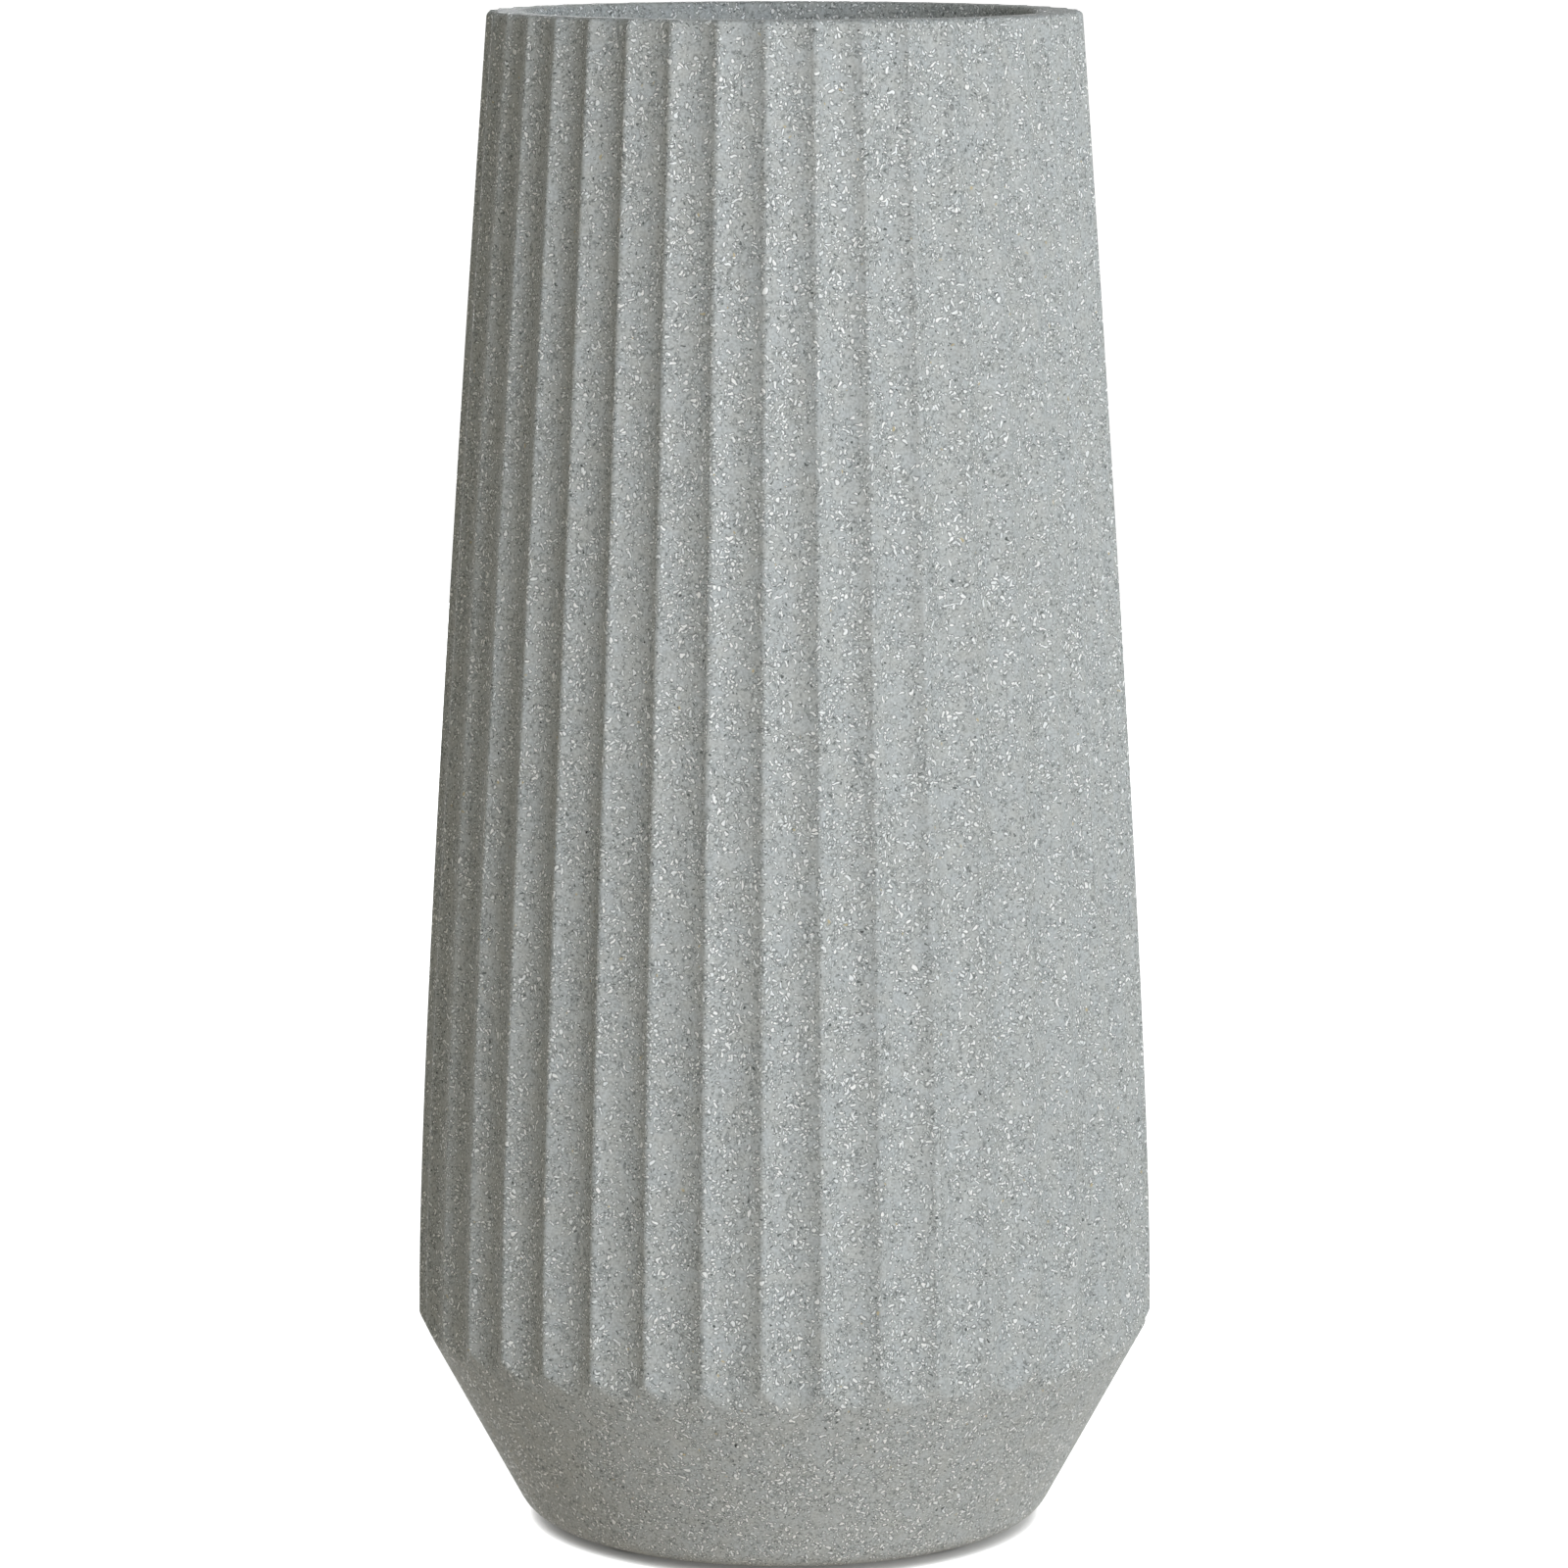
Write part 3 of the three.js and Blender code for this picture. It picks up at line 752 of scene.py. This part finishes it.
def makeHandle():
    s = handleSize
    pivotX, pivotZ = s["pivot"]
    bendY = s["legY"] - s["bendRadius"]
    bendX = sqrt((s["bowRadius"] - s["bendRadius"]) ** 2 - bendY ** 2)
    bowTurn = asin(bendY / (s["bowRadius"] - s["bendRadius"]))
    clearSelection()
    bpy.ops.mesh.primitive_plane_add(
        size=1, location=(pivotX * mm, -s["legY"] * mm, pivotZ * mm), rotation=(0, pi / 2, 0))
    handle = nameIt("linerHandleRight")
    handle.scale = (s["thickness"] * mm, s["width"] * mm, 1)
    bpy.ops.object.transform_apply(location=True, rotation=True, scale=True)
    bpy.ops.object.mode_set(mode="EDIT")
    bpy.ops.mesh.select_all(action="SELECT")
    bpy.ops.mesh.bevel(offset=s["edge"] * mm, segments=5, affect="VERTICES")
    bpy.ops.mesh.select_all(action="SELECT")
    bpy.ops.mesh.delete(type="ONLY_FACE")
    bpy.ops.mesh.select_all(action="SELECT")
    # along the leg, round the bend, round the bow, and the same way back
    leg = (bendX - pivotX) * mm
    bendTurn = pi / 2 - bowTurn
    bpy.ops.mesh.extrude_region_move(TRANSFORM_OT_translate={"value": (leg, 0, 0)})
    for x, y, turn, steps in (
            (bendX, -bendY, bendTurn, s["bendSteps"]),
            (0, 0, 2 * bowTurn, s["bowSteps"]),
            (bendX, bendY, bendTurn, s["bendSteps"])):
        bpy.ops.mesh.spin(
            steps=steps, angle=turn, center=(x * mm, y * mm, pivotZ * mm), axis=(0, 0, -1))
    bpy.ops.mesh.extrude_region_move(TRANSFORM_OT_translate={"value": (-leg, 0, 0)})
    closeEnds()
    tidyMesh(0.002)
    # round leg ends, and the pins that turn in the ears
    half = s["width"] / 2 - s["legEndInset"]
    for sideY in (-1, 1):
        for name, radius, start, end, edge in (
                ("legEnd", s["thickness"] / 2 - s["legEndInset"], s["legY"] - half,
                 s["legY"] + half, s["legEndRound"]),
                ("pin", s["pinRadius"], s["legY"], s["pinEndY"], s["pinRound"])):
            rod = addRod(name, s["rodSides"], radius,
                         (pivotX, sideY * start, pivotZ), (pivotX, sideY * end, pivotZ))
            applyModifier(rod, "BEVEL", {
                "width": edge * mm, "segments": 3, "angle_limit": radians(50)})
            cutWith(handle, rod, "UNION")
            mendCuts(handle)
    return handle


print("handles")
handleMaterial = makePlastic(handlePlastic)
rightHandle = makeHandle()
pickOnly(rightHandle)
bpy.ops.object.duplicate()
leftHandle = nameIt("linerHandleLeft")
bpy.ops.object.mode_set(mode="EDIT")
bpy.ops.mesh.select_all(action="SELECT")
bpy.ops.transform.rotate(value=pi, orient_axis="Z", center_override=(0, 0, 0))
bpy.ops.object.mode_set(mode="OBJECT")
for handle, side in ((rightHandle, "right"), (leftHandle, "left")):
    finishPiece(handle, handleMaterial, side + "_handle",
                ["liner_handle_" + side], angle=35)


# The drain plug, from its lower end to the top of its knob: (radius, height, rounding) in mm.
plugProfile = [
    (3, 5.5, 0),
    (10.5, 5.5, 1.5),
    (11.7, 20.8, 0.3),
    (19, 20.8, 0.5),
    (19, 24.8, 1.5),
    (5, 24.8, 1.5),
    (5, 34.8, 1.5),
    (10, 34.8, 1.5),
    (10, 41.8, 2.2),
    (3, 41.8, 0),
]
plugSides = 72

print("plug")
plug = turnPiece("drainPlug", plugSides, softProfile(plugProfile))
finishPiece(plug, makeRubber(), "plug", ["drain_plug"], angle=35)

# Felt pads, punched from sheet: the lower edge is crushed by the pot's weight.
padSize = {
    "radius": 15,
    "thickness": 2.2,
    "upperRound": 0.7,
    "lowerRound": 0.4,
    "flatRadius": 11,
    "middleRadius": 2,
    "fuzz": 0.12,
    "fuzzDepth": 1,
    "sides": 96,
}


def makePad():
    s = padSize
    pad = turnPiece("footPad", s["sides"], softProfile([
        (s["middleRadius"], 0, 0),
        (s["flatRadius"], 0, 0),
        (s["radius"], 0, s["lowerRound"]),
        (s["radius"], s["thickness"], s["upperRound"]),
        (s["flatRadius"], s["thickness"], 0),
        (s["middleRadius"], s["thickness"], 0),
    ]))
    # loose fibres at the cut edge
    bpy.ops.object.mode_set(mode="EDIT")
    edge = (s["radius"] - s["fuzzDepth"]) * mm
    selectVerts(pad, lambda v: v.co.xy.length > edge and v.co.z > s["lowerRound"] / 2 * mm)
    bpy.ops.transform.vertex_random(offset=s["fuzz"] * mm, uniform=0.0, normal=0.0, seed=3)
    bpy.ops.object.mode_set(mode="OBJECT")
    return pad


print("pads")
felt = makeFelt()
firstPad = makePad()
for quarter, corner in enumerate(("front_left", "front_right", "back_left", "back_right")):
    low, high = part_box("foot_pad_" + corner)
    pickOnly(firstPad)
    bpy.ops.object.duplicate()
    pad = nameIt("footPad" + corner.title().replace("_", ""))
    bpy.ops.object.mode_set(mode="EDIT")
    bpy.ops.mesh.select_all(action="SELECT")
    bpy.ops.transform.rotate(value=quarter * pi / 2, orient_axis="Z", center_override=(0, 0, 0))
    bpy.ops.transform.translate(value=((low.x + high.x) / 2, (low.y + high.y) / 2, 0))
    bpy.ops.object.mode_set(mode="OBJECT")
    finishPiece(pad, felt, "shell", ["foot_pad_" + corner], angle=50)
bpy.data.objects.remove(firstPad)


# A seamless white paper sweep in a room with pale walls and a dark ceiling. The soft lamps stand
# low at the front right, at the side, and at the back, where they light what the camera can't see.
# Only the pot's contact shadow shows on the paper, painted into its glow. Sizes in metres, the
# contact shadow's in mm.
studio = {
    "floorSize": 60,
    "floor": "#cfcfcd",
    "bounce": "#dccdb9",  # what the paper throws back on the pot
    # painted contact shadow: how far the occlusion reaches, in mm, and how steeply it darkens
    "contactShadowReach": 5,
    "contactShadowDepth": 2,
    "skyColour": "#fbfae9",
    "sky": 0.466,
    "aim": (0, 0, 0.3),
    "lampSize": 1.5,
    "lamps": [
        {"name": "key", "watts": 54.3, "place": (1.24, -2.66, 0.92), "colour": "#f5f9ff"},
        {"name": "side", "watts": 8, "place": (2.63, -0.7, 1.57), "colour": "#e6f5ff"},
        {"name": "back", "watts": 15.6, "place": (2.29, 1.92, 0.56), "colour": "#eff8ff"},
        {"name": "rear", "watts": 34, "place": (-0.6, 2.85, 0.5), "colour": "#f8fbff"},
    ],
}


def addSoftbox(s):
    clearSelection()
    bpy.ops.object.light_add(type="AREA", location=s["place"])
    lamp = bpy.context.object
    lamp.name = s["name"] + "Softbox"
    lamp.data.shape = "DISK"
    lamp.data.size = studio["lampSize"]
    lamp.data.energy = s["watts"]
    lamp.data.color = hexColour(s["colour"])[:3]
    toAim = Vector(studio["aim"]) - lamp.location
    lamp.rotation_euler = toAim.to_track_quat("-Z", "Y").to_euler()


def makeStudio():
    s = studio
    clearSelection()
    bpy.ops.mesh.primitive_plane_add(size=s["floorSize"], location=(0, 0, 0))
    floor = nameIt("paperSweep")
    material, tree = newMaterial("whitePaper")
    path = addNode(tree, "LightPath")
    clear = addNode(tree, "Math", {"operation": "MAXIMUM"}, {
        0: path.outputs["Is Camera Ray"], 1: path.outputs["Is Transmission Ray"]})
    mirrored = addNode(tree, "Math", {"operation": "MAXIMUM"}, {
        0: clear.outputs[0], 1: path.outputs["Is Glossy Ray"]})
    # painted contact shadow: the paper's glow is dimmed by occlusion where the pot nearly touches
    # it
    near = addNode(tree, "AmbientOcclusion", {"samples": 8}, {"Distance": s["contactShadowReach"] * mm})
    glowLessShadow = addNode(tree, "Math", {"operation": "POWER"}, {
        0: near.outputs["AO"], 1: s["contactShadowDepth"]})
    seen = addNode(tree, "Math", {"operation": "MULTIPLY"}, {
        0: mirrored.outputs[0], 1: glowLessShadow.outputs[0]})
    paper = addNode(tree, "Mix", {"data_type": "RGBA"}, {
        0: mirrored.outputs[0], 6: hexColour(s["bounce"]), 7: hexColour(s["floor"])})
    shader = addNode(tree, "BsdfPrincipled", {}, {
        "Base Color": paper.outputs[2], "Roughness": 0.9, "Specular IOR Level": 0.1,
        "Emission Color": (1, 1, 1, 1), "Emission Strength": seen.outputs[0]})
    addNode(tree, "OutputMaterial", {}, {"Surface": shader.outputs[0]})
    floor.data.materials.append(material)
    world = bpy.data.worlds.new("studioRoom")
    bpy.context.scene.world = world
    world.use_nodes = True
    sky = world.node_tree
    sky.nodes.clear()
    ray = addNode(sky, "LightPath")
    direct = addNode(sky, "Math", {"operation": "MAXIMUM"}, {
        0: ray.outputs["Is Camera Ray"], 1: ray.outputs["Is Transmission Ray"]})
    shine = addNode(sky, "Math", {"operation": "MAXIMUM"}, {
        0: direct.outputs[0], 1: ray.outputs["Is Glossy Ray"]})
    way = addNode(sky, "TexCoord")
    height = addNode(sky, "SeparateXYZ", {}, {0: way.outputs["Generated"]})
    level = addNode(sky, "MapRange", {}, {
        "Value": height.outputs["Z"], "To Min": s["sky"], "To Max": 0.0})
    room = addNode(sky, "Background", {}, {
        "Color": hexColour(s["skyColour"]), "Strength": level.outputs[0]})
    white = addNode(sky, "Background", {}, {"Color": (1, 1, 1, 1), "Strength": 1.0})
    both = addNode(sky, "MixShader", {}, {
        0: shine.outputs[0], 1: room.outputs[0], 2: white.outputs[0]})
    addNode(sky, "OutputWorld", {}, {"Surface": both.outputs[0]})
    for lamp in s["lamps"]:
        addSoftbox(lamp)


# Where the photograph was taken from: metres, degrees, and mm for the lens.
viewpoint = {
    "place": (-0.0002, -2.5256, 0.69365),
    "tilt": 81.147,
    "lens": 145.615,
    "sensor": 36,
}


def makeCamera():
    s = viewpoint
    clearSelection()
    bpy.ops.object.camera_add(location=s["place"], rotation=(radians(s["tilt"]), 0, 0))
    camera = bpy.context.object
    camera.data.lens = s["lens"]
    camera.data.sensor_width = s["sensor"]
    bpy.context.scene.camera = camera


print("studio and camera")
makeStudio()
makeCamera()
bpy.context.scene.view_settings.view_transform = "Standard"
